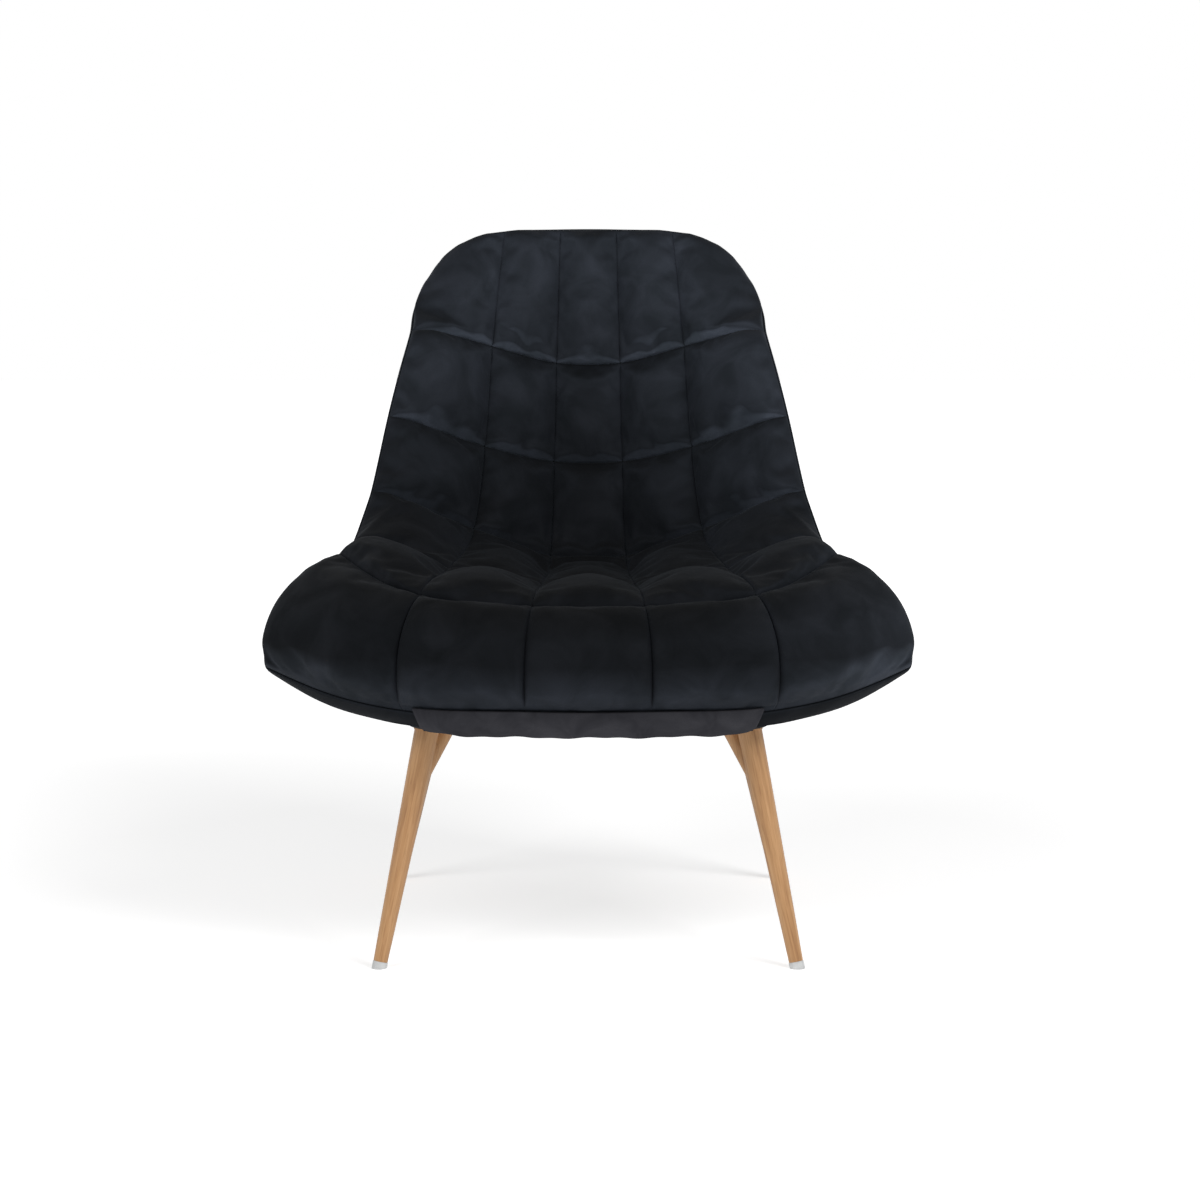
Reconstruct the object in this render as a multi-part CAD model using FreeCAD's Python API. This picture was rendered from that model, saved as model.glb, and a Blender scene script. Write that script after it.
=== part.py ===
import FreeCAD, Part
import os

os.makedirs("parts", exist_ok=True)
Vec = FreeCAD.Vector

# Overall sizes in mm. X runs across, the chair faces -Y, Z is up from the floor.
WIDTH = 780.0            # across the wing tips
SHELL_DEPTH = 695.0      # lowest front seam to top seam, measured along the floor
SHELL_HEIGHT = 560.0     # underside of the seat to the top seam
LEG_HEIGHT = 285.0       # floor to the underside of the seat

# Layers, from the sitter's side outwards.
CROWN = 14.0             # rise of a panel over its seams
SEAM_CROWN = 4.0         # rise left at the middle of a drawn-in seam
TIP_CROWN = 22.0         # rise of the lower seam under each wing tip
SHELL_T = 9.0            # moulded shell
COVER_T = 3.0            # velvet with its backing
RIM_T = 22.0             # foam and shell together at the rim of the back
TIP_T = 40.0             # the same at the wing tips
WING_DEPTH = 0.42        # core at the middle of a wing, as a share of rim and seam depth together
WING_SWELL = 7.0         # outside of the wing below and beyond a straight line
HEM = 0.72               # share of the rim that the outer cover wraps
BOARD_T = 15.0           # base board
DUST_T = 1.0             # dust cover
FIT = 0.3                # glue line between two layers
COVER_FIT = 0.6          # cover off the shell
HEM_FIT = 1.0            # turned-over cover off the edge of the core
EASE = 1.5               # room under the panels that round a corner

# Flat underside of the shell.
FLAT_FRONT_HALF = 219.0  # half width at the front
FLAT_REAR_HALF = 206.0   # half width at the heel
HEEL_BACK = 56.0         # heel behind the seam between seat and back
HEEL_CURVE = 32.0        # heel set forward at its ends
BORDER_RAKE = 12.0       # lower edge of the front border behind its upper edge
BOARD_INSET = 8.0        # base board in from the edge of the flat underside
DUST_INSET = 5.0

# Legs.
LEG_TOP_D = 30.0         # tube at the plate
LEG_END_D = 17.0         # tube at the glide
LEG_WALL = 1.5
FRONT_LEG_X = 190.0      # plate end of the front tubes, from the centre line
FRONT_LEG_Y = -0.377 * SHELL_DEPTH
REAR_LEG_X = 187.0
REAR_LEG_Y = 0.17 * SHELL_DEPTH
FRONT_SPLAY_X = 57.0     # sideways run of a leg from plate to floor
REAR_SPLAY_X = 62.0
FRONT_SPLAY_Y = 42.0     # forward run of a front leg
REAR_SPLAY_Y = 78.0      # backward run of a rear leg
BRACE_D = 24.0           # welded brace beside the tube
BRACE_REACH = 28.0       # brace centre from tube centre at the plate
BRACE_DROP = 75.0        # plate down to where the brace runs into the tube
PLATE = 60.0
PLATE_T = 4.0
PLATE_SHIFT = 14.0       # plate centre from tube centre, towards the middle of the seat
BOLT_PITCH = 21.0        # bolt from plate centre, both ways
BOLT_D = 6.0
BOLT_CLEAR = 0.5
HEAD_D = 11.0
HEAD_T = 4.0
WASHER_D = 14.0
WASHER_T = 1.2
NUT_BARREL_D = 8.0
NUT_FLANGE_D = 18.0
NUT_FLANGE_T = 1.4
GLIDE_D = 18.0
GLIDE_T = 8.0
GLIDE_STEM = 16.0
GLIDE_ROUND = 1.2
SCREW_D = 4.0
SCREW_HEAD_D = 8.0
SCREW_SINK = 1.5         # screw head below the inside of the shell

UNDER = LEG_HEIGHT
BASE = UNDER + DUST_T + COVER_T + COVER_FIT
BOARD_LOW = BASE + SHELL_T + FIT
BOARD_TOP = BOARD_LOW + BOARD_T

# Seam rows as shares of half width, depth and height: centre (y, z), long seam (x, y, z), rim (x, y, z).
SEAMS = [
    ((1.000, 1.006), (0.284, 0.988, 1.002), (0.424, 0.964, 0.984)),
    ((0.902, 0.693), (0.323, 0.859, 0.741), (0.562, 0.770, 0.797)),
    ((0.817, 0.472), (0.344, 0.760, 0.518), (0.627, 0.662, 0.605)),
    ((0.701, 0.265), (0.375, 0.640, 0.343), (0.672, 0.551, 0.451)),
    ((0.374, 0.250), (0.435, 0.378, 0.290), (0.742, 0.442, 0.354)),
    ((0.065, 0.261), (0.502, 0.101, 0.281), (0.774, 0.309, 0.341)),
    ((0.000, 0.059), (0.561, 0.043, 0.063), (0.989, 0.201, 0.148)),
]
# Points that pull a row out into a curve, written in the same way: round the head and round the front roll.
PULL = {
    0: ((0.935, 0.850), (0.304, 0.905, 0.872), (0.566, 0.926, 0.900)),
    5: ((-0.070, 0.212), (0.575, -0.028, 0.226), (1.020, 0.228, 0.252)),
}
ROWS = ["head", "upper_back", "lower_back", "seat_rear", "seat_front", "front_roll"]
COLUMNS = ["left_wing", "left", "centre", "right", "right_wing"]

# Share of the crown at each cross-section of a panel, from its upper seam to its lower one.
PILLOW = [(0.0, 0.0), (0.5, 1.0), (1.0, 0.0)]
LONG_PILLOW = [(0.0, 0.0), (0.25, 0.75), (0.5, 1.0), (0.75, 0.75), (1.0, 0.0)]

# Depth of the core behind the seams, row by row down the back: at the centre, at the long seam.
CORE = [(24.0, 24.0), (44.0, 42.0), (62.0, 58.0), (116.0, 116.0)]


def blend(a, b, share):
    return a + (b - a) * share


def unit(v):
    return v * (1.0 / v.Length)


def mirrored(p):
    return Vec(-p.x, p.y, p.z)


def placed(x, y, z):
    """Point from its shares of half width, depth and height."""
    return Vec(x * WIDTH / 2, (y - 0.525) * SHELL_DEPTH, UNDER + z * SHELL_HEIGHT)


def seam_line(centre, seam, rim):
    """Six points across the chair, left rim to right rim."""
    (cy, cz), (sx, sy, sz), (rx, ry, rz) = centre, seam, rim
    ninth = 1.0 / 9.0
    short = placed(sx / 3, blend(cy, sy, ninth), blend(cz, sz, ninth))
    right = [short, placed(sx, sy, sz), placed(rx, ry, rz)]
    return [mirrored(p) for p in reversed(right)] + right


LINES = [seam_line(*row) for row in SEAMS]
PULL_LINES = {row: seam_line(*points) for row, points in PULL.items()}


def seam_point(row, share, column):
    """Point on a long seam or rim, part of the way down a row of panels."""
    top, low = LINES[row][column], LINES[min(row + 1, 6)][column]
    if row in PULL:
        pull = PULL_LINES[row][column]
        return blend(blend(top, pull, share), blend(pull, low, share), share)
    return blend(top, low, share)


def cell_normal(row, column):
    """Direction out of a panel towards the sitter."""
    top, low = LINES[row], LINES[row + 1]
    across = top[column + 1] + low[column + 1] - top[column] - low[column]
    down = low[column] + low[column + 1] - top[column] - top[column + 1]
    return unit(down.cross(across))


def seam_normal(row, column):
    """Direction out of a seam between two rows of panels."""
    if row == 0:
        return unit(cell_normal(0, column) + Vec(0, 0, 0.7))
    if row == 6:
        return unit(cell_normal(5, column) - Vec(0, 0, 1.2 if column in (0, 4) else 0.6))
    return unit(cell_normal(row - 1, column) + cell_normal(row, column))


def panel(row, column):
    """Stuffed panel: a loft through sections of one line and one arc."""
    pillow = LONG_PILLOW if row in PULL else PILLOW
    low_crown = TIP_CROWN if row == 5 and column in (0, 4) else SEAM_CROWN
    wires = []
    for share, height in pillow:
        a = seam_point(row, share, column)
        b = seam_point(row, share, column + 1)
        out = blend(seam_normal(row, column), seam_normal(row + 1, column), share)
        chord = unit(b - a)
        out = unit(out - chord * out.dot(chord))
        top = (a + b) * 0.5 + out * blend(blend(SEAM_CROWN, low_crown, share), CROWN, height)
        wires.append(Part.Wire([Part.LineSegment(a, b).toShape(), Part.Arc(b, top, a).toShape()]))
    return Part.makeLoft(wires, True, False)


# Stations of the core: the seam rows, the rounded corners, the turn under the back and the heel.
STATIONS = [(0, 0.0), (0, 0.25), (0, 0.5), (0, 0.75), (1, 0.0), (1, 0.5), (2, 0.0), (2, 0.5), (3, 0.0),
            (3, 0.1), (3, 0.2), (4, 0.0), (5, 0.0), (5, 0.25), (5, 0.5), (5, 0.75), (6, 0.0)]
JOIN = STATIONS.index((3, 0.0))
TURN = JOIN + 1
HEEL = JOIN + 2
MIDDLE = HEEL + 1
LAST = len(STATIONS) - 1
WIDE = 8                 # points across: rim, wing middle, long seam, short seam, and mirrored


def station_line(row, share):
    p = [seam_point(row, share, column) for column in range(6)]
    return [p[0], (p[0] + p[1]) * 0.5, p[1], p[2], p[3], p[4], (p[4] + p[5]) * 0.5, p[5]]


def normals(grid):
    """Directions towards the sitter at every point of a grid."""
    result = []
    for k, line in enumerate(grid):
        above, below = grid[max(k - 1, 0)], grid[min(k + 1, len(grid) - 1)]
        row = []
        for j in range(WIDE):
            across = line[min(j + 1, WIDE - 1)] - line[max(j - 1, 0)]
            row.append(unit((below[j] - above[j]).cross(across)))
        result.append(row)
    return result


SEAM_GRID = [station_line(row, share) for row, share in STATIONS]
SEAM_OUT = normals(SEAM_GRID)


def outer_line(k):
    """Outside of the shell at one station."""
    row, share = STATIONS[k]
    line, out = SEAM_GRID[k], SEAM_OUT[k]
    rim_t = blend(RIM_T, TIP_T, min(max(row + share - 3, 0) / 2, 1))
    rim = []
    for j in (0, 7):
        back = unit(Vec(0.35 * out[j].x, out[j].y, out[j].z))
        rim.append(line[j] - back * rim_t)
    if k <= JOIN:
        here, there = CORE[row], CORE[min(row + 1, 3)]
        centre, seam = blend(here[0], there[0], share), blend(here[1], there[1], share)
        wing = WING_DEPTH * (RIM_T + seam)
        depths = [0, wing, seam, centre, centre, seam, wing, 0]
        points = [p - n * d for p, n, d in zip(line, out, depths)]
        points[0], points[7] = rim
        return points
    along = (k - HEEL) / (LAST - HEEL)
    half = blend(FLAT_REAR_HALF, FLAT_FRONT_HALF, along)
    if k <= HEEL:
        seat = [SEAM_GRID[JOIN][4].y + HEEL_BACK, SEAM_GRID[JOIN][4].y + HEEL_BACK - HEEL_CURVE]
    else:
        here, there = LINES[row], LINES[min(row + 1, 6)]
        rake = max(row + share - 5, 0) * (BORDER_RAKE + EASE)
        seat = [blend(here[column].y, there[column].y, share) + rake for column in (3, 4)]
    right = [Vec(half / 3, seat[0], BASE), Vec(half, seat[1], BASE)]
    edge = rim[1]
    away = unit(Vec(edge.x - right[1].x, edge.y - right[1].y, 0))
    wing = (right[1] + edge) * 0.5 + away * WING_SWELL - Vec(0, 0, WING_SWELL)
    right.append(wing)
    right.append(edge)
    return [mirrored(p) for p in reversed(right)] + right


OUTER_GRID = [outer_line(k) for k in range(len(STATIONS))]
# Between back and underside the shell turns on a curve.
for j in range(1, 7):
    before, after = OUTER_GRID[JOIN][j], OUTER_GRID[HEEL][j]
    corner = Vec(after.x, before.y, after.z)
    OUTER_GRID[TURN][j] = before * 0.25 + corner * 0.5 + after * 0.25
OUTER_OUT = normals(OUTER_GRID)


def moved(grid, directions, distance):
    return [[p + n * distance for p, n in zip(line, row)] for line, row in zip(grid, directions)]


# At its edges the core is cut straight through, from the rim to the outside of the shell.
for k in range(len(STATIONS)):
    for j in range(WIDE):
        if k in (0, LAST) or j in (0, 7):
            SEAM_OUT[k][j] = OUTER_OUT[k][j] = unit(SEAM_GRID[k][j] - OUTER_GRID[k][j])
FOAM_FRONT = moved(SEAM_GRID, SEAM_OUT, -FIT)
for k, (row, share) in enumerate(STATIONS):
    if row in PULL and share > 0:
        for j in range(WIDE):
            FOAM_FRONT[k][j] = FOAM_FRONT[k][j] - SEAM_OUT[k][j] * EASE
SHELL_FRONT = moved(OUTER_GRID, OUTER_OUT, SHELL_T)
FOAM_BACK = moved(SHELL_FRONT, OUTER_OUT, FIT)
# Under the base board the inside of the shell is level.
for k in range(HEEL, LAST):
    for j in range(2, 6):
        SHELL_FRONT[k][j].z = BASE + SHELL_T
        FOAM_BACK[k][j].z = BOARD_TOP + FIT
COVER_IN = moved(OUTER_GRID, OUTER_OUT, -COVER_FIT)
COVER_OUT = moved(OUTER_GRID, OUTER_OUT, -COVER_FIT - COVER_T)


def patch(a, b, c, d):
    """Face between four points, plane where they are level."""
    if max(p.z for p in (a, b, c, d)) - min(p.z for p in (a, b, c, d)) < 1e-6:
        return Part.Face(Part.makePolygon([a, b, c, d, a]))
    return Part.makeRuledSurface(Part.makeLine(a, b), Part.makeLine(d, c), 1)


def thick(cells, inner, outer):
    """Closed solid between two sets of points that share the same four-sided cells."""
    faces, edges = [], {}
    for cell in cells:
        faces.append(patch(*[inner[key] for key in cell]))
        faces.append(patch(*[outer[key] for key in cell]))
        for a, b in zip(cell, cell[1:] + cell[:1]):
            edges.setdefault(frozenset((a, b)), []).append((a, b))
    for pairs in edges.values():
        if len(pairs) == 1:
            a, b = pairs[0]
            faces.append(patch(inner[a], inner[b], outer[b], outer[a]))
    shell = Part.makeCompound(faces)
    shell.sewShape(0.001)
    solid = Part.makeSolid(shell.Shells[0])
    if solid.Volume < 0:
        solid.reverse()
    return solid


def keyed(grid):
    return {(k, j): p for k, line in enumerate(grid) for j, p in enumerate(line)}


def cells(first, last, left, right):
    return [((k, j), (k, j + 1), (k + 1, j + 1), (k + 1, j))
            for k in range(first, last) for j in range(left, right)]


def block(first, last, left, right, side_gap, end_gap):
    """Foam between the seam surface and the shell."""
    front, back = keyed(FOAM_FRONT), keyed(FOAM_BACK)
    for points in (front, back):
        for k in range(first, last + 1):
            points[(k, left)] = points[(k, left)] + Vec(side_gap, 0, 0)
            points[(k, right)] = points[(k, right)] - Vec(side_gap, 0, 0)
        for j in range(left, right + 1):
            points[(first, j)] = points[(first, j)] - Vec(0, end_gap, 0)
    return thick(cells(first, last, left, right), front, back)


def edge_out(k, j, along_rim):
    """Direction out of the edge of the shell, square to it."""
    if along_rim:
        run = OUTER_GRID[min(k + 1, LAST)][j] - OUTER_GRID[max(k - 1, 0)][j]
        inside = OUTER_GRID[k][1 if j == 0 else 6]
    else:
        run = OUTER_GRID[k][min(j + 1, 7)] - OUTER_GRID[k][max(j - 1, 0)]
        inside = OUTER_GRID[1 if k == 0 else LAST - 1][j]
    out = unit(run.cross(SEAM_GRID[k][j] - OUTER_GRID[k][j]))
    return out if out.dot(OUTER_GRID[k][j] - inside) > 0 else out * -1


def cover(first, last, ends):
    """Outer cover on the shell, turned over the rim and over the given points of an end row."""
    inner, outer = keyed(COVER_IN), keyed(COVER_OUT)
    shape = cells(first, last, 0, WIDE - 1)
    rim = [(k, j) for k in range(first, last + 1) for j in (0, 7)]
    end_keys = [key for pair in ends for key in pair]
    for k, j in dict.fromkeys(rim + end_keys):
        away = Vec(0, 0, 0)
        if j in (0, 7):
            away = away + edge_out(k, j, True)
        if (k, j) in end_keys:
            away = away + edge_out(k, j, False)
        away = unit(away)
        turned = blend(OUTER_GRID[k][j], SEAM_GRID[k][j], HEM)
        inner[("hem", k, j)] = turned + away * HEM_FIT
        outer[("hem", k, j)] = turned + away * (HEM_FIT + COVER_T)
        inner[(k, j)] = inner[(k, j)] + away * HEM_FIT
        outer[(k, j)] = outer[(k, j)] + away * (HEM_FIT + COVER_T)
    pairs = [((k, j), (k + 1, j)) for k in range(first, last) for j in (0, 7)] + ends
    for a, b in pairs:
        shape.append((a, b, ("hem",) + b, ("hem",) + a))
    return thick(shape, inner, outer)


def front_border():
    """Plain strip from the lowest front seam down to the underside."""
    inner, outer = {}, {}
    for j in range(2, 6):
        high = SEAM_GRID[LAST][j] - Vec(0, FIT, EASE)
        high.x *= 0.975
        low = Vec(high.x, high.y + BORDER_RAKE, UNDER)
        out = unit(Vec(0, UNDER - high.z, -BORDER_RAKE))
        for name, p in (("high", high), ("low", low)):
            inner[(name, j)] = p + out * FIT
            outer[(name, j)] = p + out * (FIT + COVER_T)
    strips = [(("high", j), ("high", j + 1), ("low", j + 1), ("low", j)) for j in range(2, 5)]
    return thick(strips, inner, outer)


def slab(inset, front_row, low, thickness):
    """Flat sheet under the seat, set in from the edge of the flat part of the shell."""
    front = [OUTER_GRID[front_row][j] for j in (4, 5)]
    side = [OUTER_GRID[k][5] for k in (MIDDLE, HEEL)]
    right = [Vec(p.x, p.y + inset, low) for p in front]
    right[1].x -= inset
    right += [Vec(p.x - inset, p.y - (inset if p is side[1] else 0), low) for p in side]
    heel = OUTER_GRID[HEEL][4]
    right.append(Vec(heel.x, heel.y - inset, low))
    ring = right + [mirrored(p) for p in reversed(right)]
    face = Part.Face(Part.makePolygon(ring + ring[:1]))
    return face.extrude(Vec(0, 0, thickness))


def upright(spot, low, high, diameter):
    return Part.makeCylinder(diameter / 2, high - low, Vec(spot.x, spot.y, low))


def drill(spots, low, high, diameter):
    return Part.makeCompound([upright(spot, low, high, diameter) for spot in spots])


# Each leg: side, end, plate end of the tube, and its run sideways and lengthways.
LEGS = {}
for side, side_name in ((-1, "left"), (1, "right")):
    LEGS["front_" + side_name + "_leg"] = (side, -1, FRONT_LEG_X, FRONT_LEG_Y, FRONT_SPLAY_X, FRONT_SPLAY_Y)
    LEGS["rear_" + side_name + "_leg"] = (side, 1, REAR_LEG_X, REAR_LEG_Y, REAR_SPLAY_X, REAR_SPLAY_Y)


def leg_axis(name):
    side, end, x, y, run_x, run_y = LEGS[name]
    return Vec(side * x, y, UNDER - PLATE_T), Vec(side * (x + run_x), y + end * run_y, 0)


def plate_centre(name):
    side, end, x, y = LEGS[name][:4]
    return Vec(side * (x - PLATE_SHIFT), y - end * PLATE_SHIFT, UNDER - PLATE_T)


def bolt_spots(name):
    side, end = LEGS[name][:2]
    corners = [(-1, -1), (1, -1), (-1, 1)]
    return [plate_centre(name) + Vec(side * a * BOLT_PITCH, end * b * BOLT_PITCH, 0) for a, b in corners]


def leg(name):
    """Tapered tube with a brace and a drilled plate, welded into one piece."""
    top, foot = leg_axis(name)
    axis = unit(foot - top)
    length = (foot - top).Length - GLIDE_T
    slope = (LEG_TOP_D - LEG_END_D) / 2 / length
    over = LEG_TOP_D
    start = top - axis * over
    wide = LEG_TOP_D / 2 + slope * over
    tube = Part.makeCone(wide, LEG_END_D / 2, length + over, start, axis)
    bore = Part.makeCone(wide - LEG_WALL, LEG_END_D / 2 - LEG_WALL, length + over, start, axis)
    inward = unit(Vec(top.x - foot.x, top.y - foot.y, 0))
    weld = top + axis * BRACE_DROP
    head = top + inward * BRACE_REACH
    stay = unit(weld - head)
    brace = Part.makeCone(BRACE_D / 2, BRACE_D * 0.36, (weld - head).Length + over, head - stay * over, stay)
    trim = Part.makeBox(400, 400, 200, Vec(top.x - 200, top.y - 200, top.z))
    body = tube.fuse(brace).cut(bore).cut(trim)
    centre = plate_centre(name)
    plate = Part.makeBox(PLATE, PLATE, PLATE_T, centre - Vec(PLATE / 2, PLATE / 2, 0))
    plate = plate.makeFillet(PLATE / 8, [e for e in plate.Edges if abs(e.tangentAt(0).z) > 0.9])
    body = body.fuse(plate)
    for spot in bolt_spots(name):
        body = body.cut(upright(spot, top.z - 1, UNDER + 1, BOLT_D + BOLT_CLEAR))
    return body.removeSplitter()


def glide(name):
    """Plastic foot pressed into the tube, trimmed level with the floor."""
    top, foot = leg_axis(name)
    axis = unit(foot - top)
    cap = Part.makeCylinder(GLIDE_D / 2, GLIDE_T * 2, foot - axis * GLIDE_T, axis)
    rings = [e for e in cap.Edges if len(e.Vertexes) == 1]
    upper = min(rings, key=lambda e: (e.CenterOfMass - foot).dot(axis))
    cap = cap.makeFillet(GLIDE_ROUND, [upper])
    stem_d = LEG_END_D - 2 * LEG_WALL - 2 * FIT
    stem = Part.makeCylinder(stem_d / 2, GLIDE_STEM + 1, foot - axis * (GLIDE_T + GLIDE_STEM), axis)
    floor = Part.makeBox(100, 100, 60, Vec(foot.x - 50, foot.y - 50, -60))
    return cap.fuse(stem).cut(floor).removeSplitter()


def bolt(spot):
    head_top = UNDER - PLATE_T - WASHER_T
    head = upright(spot, head_top - HEAD_T, head_top, HEAD_D)
    return head.fuse(upright(spot, head_top - 1, BOARD_TOP - 1, BOLT_D)).removeSplitter()


def washer(spot):
    high = UNDER - PLATE_T
    disc = upright(spot, high - WASHER_T, high, WASHER_D)
    return disc.cut(upright(spot, high - 5, high + 5, BOLT_D + BOLT_CLEAR))


def tee_nut(spot):
    flange = upright(spot, BOARD_TOP - NUT_FLANGE_T, BOARD_TOP, NUT_FLANGE_D)
    barrel = upright(spot, BOARD_TOP - 0.7 * BOARD_T, BOARD_TOP, NUT_BARREL_D)
    thread = upright(spot, BOARD_LOW, BOARD_TOP + 5, BOLT_D + FIT)
    return flange.fuse(barrel).cut(thread).removeSplitter()


SCREW_TOP = BOARD_TOP - SCREW_SINK
SCREW_TIP = BASE + 0.3 * SHELL_T


def screw(spot):
    depth = (SCREW_HEAD_D - SCREW_D) / 2
    cone = Part.makeCone(SCREW_D / 2, SCREW_HEAD_D / 2, depth, Vec(spot.x, spot.y, SCREW_TOP - depth))
    return upright(spot, SCREW_TIP, SCREW_TOP, SCREW_D).fuse(cone).removeSplitter()


BOLTS = [spot for name in LEGS for spot in bolt_spots(name)]
SCREWS = [Vec(side * 0.6 * FLAT_REAR_HALF, blend(FRONT_LEG_Y, REAR_LEG_Y, share), 0)
          for side in (-1, 1) for share in (0.2, 0.5, 0.8)]

parts = {}
for row, row_name in enumerate(ROWS):
    for column, column_name in enumerate(COLUMNS):
        parts[row_name + "_" + column_name] = panel(row, column)

parts["back_foam"] = block(0, JOIN, 2, 5, 2 * FIT, 0)
parts["seat_foam"] = block(JOIN, LAST, 2, 5, 2 * FIT, FIT)
parts["left_wing_foam"] = block(0, LAST, 0, 2, 0, 0)
parts["right_wing_foam"] = block(0, LAST, 5, 7, 0, 0)

shell = thick(cells(0, LAST, 0, WIDE - 1), keyed(SHELL_FRONT), keyed(OUTER_GRID))
board = slab(BOARD_INSET, LAST - 1, BOARD_LOW, BOARD_T)
dust = slab(DUST_INSET, LAST - 1, UNDER, DUST_T)
top_edge = [((0, j), (0, j + 1)) for j in range(WIDE - 1)]
front_edge = [((LAST, j), (LAST, j + 1)) for j in (0, 1, 5, 6)]
seat_cover = cover(JOIN, LAST, front_edge)
bolt_holes = drill(BOLTS, UNDER - 1, BOARD_TOP + 1, BOLT_D + BOLT_CLEAR)
nut_holes = drill(BOLTS, BOARD_LOW - 1, BOARD_TOP + 1, NUT_BARREL_D + FIT)
nut_seats = drill(BOLTS, BOARD_TOP - NUT_FLANGE_T, BOARD_TOP + 1, NUT_FLANGE_D + FIT)
screw_holes = drill(SCREWS, SCREW_TIP, BOARD_LOW + 1, SCREW_D + FIT)
screw_wells = drill(SCREWS, BOARD_LOW - 1, BOARD_TOP + 1, SCREW_HEAD_D + FIT)
parts["moulded_shell"] = shell.cut(bolt_holes).cut(screw_holes)
parts["base_board"] = board.cut(nut_holes).cut(nut_seats).cut(screw_wells)
parts["dust_cover"] = dust.cut(bolt_holes)
parts["outer_back_cover"] = cover(0, JOIN, top_edge)
parts["outer_seat_cover"] = seat_cover.cut(bolt_holes)
parts["front_border"] = front_border()

for name in LEGS:
    parts[name] = leg(name)
    parts[name.replace("leg", "glide")] = glide(name)
parts["leg_bolts"] = Part.makeCompound([bolt(spot) for spot in BOLTS])
parts["leg_washers"] = Part.makeCompound([washer(spot) for spot in BOLTS])
parts["tee_nuts"] = Part.makeCompound([tee_nut(spot) for spot in BOLTS])
parts["shell_screws"] = Part.makeCompound([screw(spot) for spot in SCREWS])

# The origin lies on the floor under the middle of the whole chair.
front = parts["front_roll_centre"].optimalBoundingBox(False, False).YMin
back = parts["outer_back_cover"].optimalBoundingBox(False, False).YMax
for name, shape in parts.items():
    shape.translate(Vec(0, -(front + back) / 2, 0))
    shape.exportStep("parts/" + name + ".step")
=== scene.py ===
"""Quilted velvet lounge chair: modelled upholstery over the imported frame, with light and camera."""

import logging
import math
from dataclasses import dataclass, field
from enum import Enum

import bmesh
import bpy
import numpy as np
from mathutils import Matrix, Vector


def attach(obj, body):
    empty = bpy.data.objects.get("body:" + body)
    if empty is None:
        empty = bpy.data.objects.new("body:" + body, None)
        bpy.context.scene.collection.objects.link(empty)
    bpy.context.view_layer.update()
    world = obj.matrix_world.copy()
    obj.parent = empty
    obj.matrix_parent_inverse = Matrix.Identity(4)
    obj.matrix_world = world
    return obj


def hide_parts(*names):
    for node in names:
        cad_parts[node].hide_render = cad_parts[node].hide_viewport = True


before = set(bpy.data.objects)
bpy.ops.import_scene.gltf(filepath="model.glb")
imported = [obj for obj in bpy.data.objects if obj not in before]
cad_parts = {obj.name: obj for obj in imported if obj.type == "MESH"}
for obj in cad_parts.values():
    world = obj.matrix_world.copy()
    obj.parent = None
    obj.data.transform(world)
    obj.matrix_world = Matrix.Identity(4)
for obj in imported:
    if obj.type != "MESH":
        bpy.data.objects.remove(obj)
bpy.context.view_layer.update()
LOG = logging.getLogger("lounge_chair")
logging.basicConfig(level=logging.INFO, format="%(name)s: %(message)s")

MM = 0.001
Grid = np.ndarray


class Row(Enum):
    """Rows of panels, from the head down to the front roll."""

    HEAD = 0
    UPPER_BACK = 1
    LOWER_BACK = 2
    SEAT_REAR = 3
    SEAT_FRONT = 4
    FRONT_ROLL = 5


class Column(Enum):
    """Columns of panels, from the wing at -X to the one at +X."""

    LEFT_WING = 0
    LEFT = 1
    CENTRE = 2
    RIGHT = 3
    RIGHT_WING = 4


def linear(code: str) -> tuple[float, float, float, float]:
    """Turn an sRGB hex colour into linear light.

    Args:
        code: Colour such as "#C49A6C".

    Returns:
        Linear red, green, blue and alpha.
    """
    parts = [int(code[i:i + 2], 16) / 255 for i in (1, 3, 5)]
    light = [c / 12.92 if c <= 0.04045 else ((c + 0.055) / 1.055) ** 2.4 for c in parts]
    return (*light, 1.0)


def add_node(tree: bpy.types.NodeTree, kind: str, links: dict | None = None,
             **settings) -> bpy.types.Node:
    """Add a node with its settings and links.

    Args:
        tree: Node tree to add to.
        kind: Node type, such as "ShaderNodeTexNoise".
        links: Input name to a constant or to another node's output socket.
        settings: Properties of the node itself.

    Returns:
        The new node.
    """
    node = tree.nodes.new(kind)
    for name, value in settings.items():
        setattr(node, name, value)
    for name, value in (links or {}).items():
        socket = node.inputs[name]
        if isinstance(value, bpy.types.NodeSocket):
            tree.links.new(value, socket)
        else:
            socket.default_value = value
    return node


def ramp(tree: bpy.types.NodeTree, factor: bpy.types.NodeSocket,
         stops: list[tuple]) -> bpy.types.NodeSocket:
    """Colour ramp from a factor.

    Args:
        tree: Node tree to add to.
        factor: Socket that drives the ramp.
        stops: Position and linear colour of each stop.

    Returns:
        The colour output.
    """
    node = add_node(tree, "ShaderNodeValToRGB", {"Fac": factor})
    elements = node.color_ramp.elements
    while len(elements) < len(stops):
        elements.new(0.5)
    for element, (position, colour) in zip(elements, stops):
        element.position = position
        element.color = colour
    return node.outputs["Color"]


def new_material(name: str) -> tuple[bpy.types.Material, bpy.types.NodeTree, bpy.types.Node]:
    """Start a material that holds one principled shader.

    Args:
        name: Name of the real material.

    Returns:
        The material, its node tree and its shader node.
    """
    material = bpy.data.materials.new(name)
    material.use_nodes = True
    tree = material.node_tree
    return material, tree, tree.nodes["Principled BSDF"]


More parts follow.
